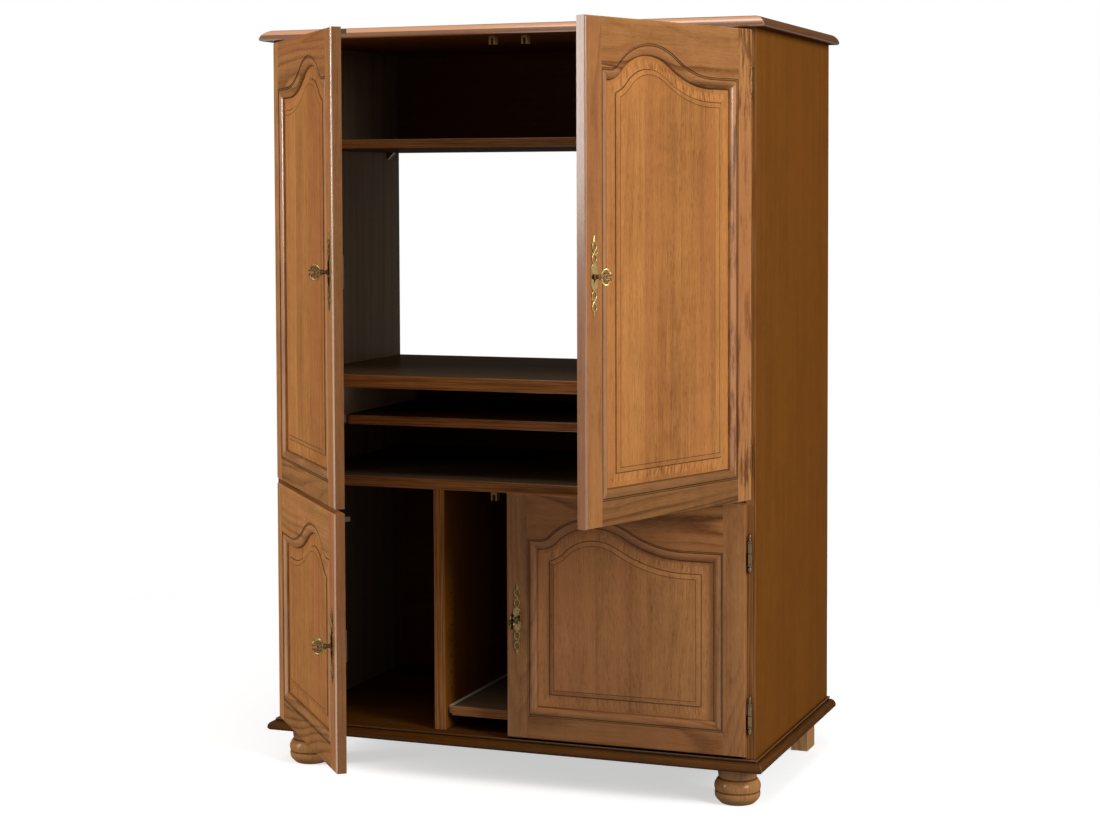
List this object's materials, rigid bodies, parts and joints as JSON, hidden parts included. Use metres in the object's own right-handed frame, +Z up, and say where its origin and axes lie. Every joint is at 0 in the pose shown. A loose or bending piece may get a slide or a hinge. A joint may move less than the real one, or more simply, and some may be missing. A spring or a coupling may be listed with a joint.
{
  "type": "computer armoire",
  "caption": "Rustic oak computer armoire with arched raised-panel doors, barrel hinges, pierced brass key plates, a keyboard tray and a printer tray.",
  "frame": {"origin": "on the floor, at the middle of the plane of the carcass back", "axes": "+Z up, front towards -Y, +X to the right seen from the front"},
  "size_m": [1.0528, 1.0401, 1.5],
  "materials": {
    "oak_frame": "waxed oak, satin",
    "oak_panel": "waxed oak boards, satin",
    "oak_side": "waxed oak, satin",
    "oak_edging": "waxed oak, satin",
    "oak_inside": "oak veneer, satin",
    "back_board": "thin board, matt",
    "plain_wood": "plain wood, matt",
    "aged_brass": "aged brass",
    "hinge_steel": "bronzed steel",
    "lock_steel": "zinc plated",
    "runner_cream": "cream powder coat",
    "catch_plastic": "tan plastic",
    "support_plastic": "brown plastic"
  },
  "bodies": {
    "carcass": {"left_side_panel": "oak_side", "right_side_panel": "oak_side", "crown_board": "oak_edging", "crown_front_edging": "oak_edging", "crown_side_edgings": "oak_edging", "base_board": "oak_edging", "base_front_edging": "oak_edging", "base_side_edgings": "oak_edging", "bun_feet": "oak_edging", "rear_feet": "plain_wood", "upper_back_panel": "back_board", "lower_back_panel": "back_board", "top_shelf": "oak_inside", "worktop": "oak_inside", "middle_shelf": "oak_inside", "centre_partition": "oak_inside", "shelf_supports": "support_plastic", "door_catches": "catch_plastic", "hinge_posts": "hinge_steel", "cabinet_runners": "runner_cream"},
    "upper_left_door": {"upper_left_stiles": "oak_frame", "upper_left_top_rail": "oak_frame", "upper_left_bottom_rail": "oak_frame", "upper_left_panel": "oak_panel", "upper_left_hinge_barrels": "hinge_steel", "upper_left_escutcheon": "aged_brass", "upper_left_lock_and_strike": "lock_steel"},
    "upper_left_bolt": {"upper_left_lock_bolt": "lock_steel"},
    "upper_left_key": {"upper_left_key": "aged_brass"},
    "upper_right_door": {"upper_right_stiles": "oak_frame", "upper_right_top_rail": "oak_frame", "upper_right_bottom_rail": "oak_frame", "upper_right_panel": "oak_panel", "upper_right_hinge_barrels": "hinge_steel", "upper_right_escutcheon": "aged_brass", "upper_right_lock_and_strike": "lock_steel"},
    "upper_right_bolt": {"upper_right_lock_bolt": "lock_steel"},
    "upper_right_key": {"upper_right_key": "aged_brass"},
    "lower_left_door": {"lower_left_stiles": "oak_frame", "lower_left_top_rail": "oak_frame", "lower_left_bottom_rail": "oak_frame", "lower_left_panel": "oak_panel", "lower_left_hinge_barrels": "hinge_steel", "lower_left_escutcheon": "aged_brass", "lower_left_lock_and_strike": "lock_steel"},
    "lower_left_bolt": {"lower_left_lock_bolt": "lock_steel"},
    "lower_left_key": {"lower_left_key": "aged_brass"},
    "lower_right_door": {"lower_right_stiles": "oak_frame", "lower_right_top_rail": "oak_frame", "lower_right_bottom_rail": "oak_frame", "lower_right_panel": "oak_panel", "lower_right_hinge_barrels": "hinge_steel", "lower_right_escutcheon": "aged_brass", "lower_right_lock_and_strike": "lock_steel"},
    "lower_right_bolt": {"lower_right_lock_bolt": "lock_steel"},
    "lower_right_key": {"lower_right_key": "aged_brass"},
    "keyboard_tray_slide_body": {"keyboard_tray": "oak_inside", "keyboard_tray_runners": "runner_cream"},
    "printer_tray_slide_body": {"printer_tray": "oak_inside", "printer_tray_runners": "runner_cream"}
  },
  "joints": [
    {"name": "upper_left_door_swing", "type": "hinge", "parent": "carcass", "child": "upper_left_door", "pos_m": [-0.495, -0.576, 1.0275], "axis": [0, 0, -1], "range_deg": [-50, 110]},
    {"name": "upper_left_key_turn", "type": "hinge", "parent": "upper_left_door", "child": "upper_left_key", "pos_m": [-0.19321, -0.93566, 1.0275], "axis": [-0.766, -0.6428, 0], "range_deg": [0, 90]},
    {"name": "upper_left_bolt_throw", "type": "slide", "parent": "upper_left_door", "child": "upper_left_bolt", "axis": [0.6428, -0.766, 0], "range_m": [0, 0.015]},
    {"name": "upper_right_door_swing", "type": "hinge", "parent": "carcass", "child": "upper_right_door", "pos_m": [0.495, -0.576, 1.0275], "axis": [0, 0, 1], "range_deg": [-70, 90]},
    {"name": "upper_right_key_turn", "type": "hinge", "parent": "upper_right_door", "child": "upper_right_key", "pos_m": [0.33442, -1.01719, 1.0275], "axis": [0.9397, -0.342, 0], "range_deg": [0, 90]},
    {"name": "upper_right_bolt_throw", "type": "slide", "parent": "upper_right_door", "child": "upper_right_bolt", "axis": [-0.342, -0.9397, 0], "range_m": [0, 0.015]},
    {"name": "lower_left_door_swing", "type": "hinge", "parent": "carcass", "child": "lower_left_door", "pos_m": [-0.495, -0.576, 0.337], "axis": [0, 0, -1], "range_deg": [-50, 110]},
    {"name": "lower_left_key_turn", "type": "hinge", "parent": "lower_left_door", "child": "lower_left_key", "pos_m": [-0.19321, -0.93566, 0.337], "axis": [-0.766, -0.6428, 0], "range_deg": [0, 90]},
    {"name": "lower_left_bolt_throw", "type": "slide", "parent": "lower_left_door", "child": "lower_left_bolt", "axis": [0.6428, -0.766, 0], "range_m": [0, 0.015]},
    {"name": "lower_right_door_swing", "type": "hinge", "parent": "carcass", "child": "lower_right_door", "pos_m": [0.495, -0.576, 0.337], "axis": [0, 0, 1], "range_deg": [0, 160]},
    {"name": "lower_right_key_turn", "type": "hinge", "parent": "lower_right_door", "child": "lower_right_key", "pos_m": [0.0255, -0.576, 0.337], "axis": [0, -1, 0], "range_deg": [0, 90]},
    {"name": "lower_right_bolt_throw", "type": "slide", "parent": "lower_right_door", "child": "lower_right_bolt", "axis": [-1, 0, 0], "range_m": [0, 0.015]},
    {"name": "keyboard_tray_slide", "type": "slide", "parent": "carcass", "child": "keyboard_tray_slide_body", "axis": [0, -1, 0], "range_m": [0, 0.16]},
    {"name": "printer_tray_slide", "type": "slide", "parent": "carcass", "child": "printer_tray_slide_body", "axis": [0, -1, 0], "range_m": [0, 0.014]}
  ],
  "couplings": [
    {"joint": "upper_left_bolt_throw", "follows": "upper_left_key_turn", "m_per_rad": 0.00955},
    {"joint": "upper_right_bolt_throw", "follows": "upper_right_key_turn", "m_per_rad": 0.00955},
    {"joint": "lower_left_bolt_throw", "follows": "lower_left_key_turn", "m_per_rad": 0.00955},
    {"joint": "lower_right_bolt_throw", "follows": "lower_right_key_turn", "m_per_rad": 0.00955}
  ]
}
